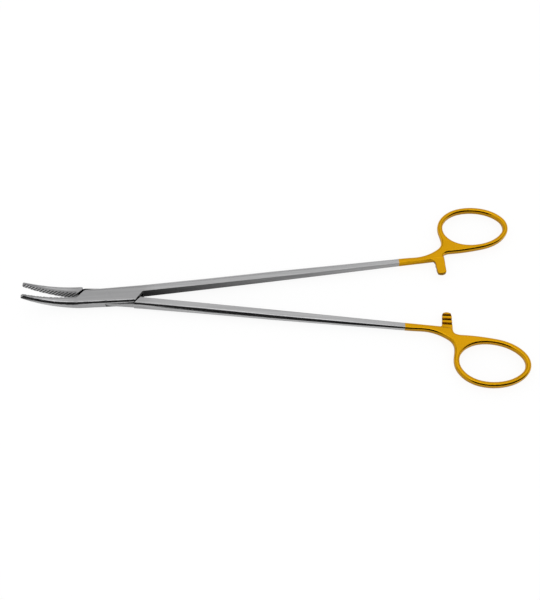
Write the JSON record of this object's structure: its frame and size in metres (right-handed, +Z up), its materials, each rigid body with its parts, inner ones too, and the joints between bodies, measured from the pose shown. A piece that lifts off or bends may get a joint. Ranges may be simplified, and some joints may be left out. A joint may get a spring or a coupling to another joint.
{
  "type": "surgical needle holder",
  "caption": "Long ring-handled needle holder with upward curved jaws, cross-grooved carbide inserts, a box lock and a finger ratchet, its handle ends gold-plated.",
  "frame": {"origin": "on the pivot axis, at the level of the flat underside of the box lock", "axes": "+X from the pivot towards the finger rings along the middle line of the opening, +Y away from the viewer of the picture, +Z up along the pivot axis, the way the jaws curve"},
  "size_m": [0.267, 0.1118, 0.0125],
  "materials": {
    "steel": "satin stainless steel, with gold plating on the handle ends from about 158 mm behind the pivot",
    "carbide": "ground sintered carbide"
  },
  "bodies": {
    "box_arm": {"box_arm": "steel", "pivot_pin": "steel", "box_jaw_insert": "carbide"},
    "tongue_arm": {"tongue_arm": "steel", "tongue_jaw_insert": "carbide"}
  },
  "joints": [
    {"name": "box_lock", "type": "hinge", "parent": "box_arm", "child": "tongue_arm", "pos_m": [0, 0, 0.0032], "axis": [0, 0, 1], "range_deg": [-34, 7.2]}
  ]
}
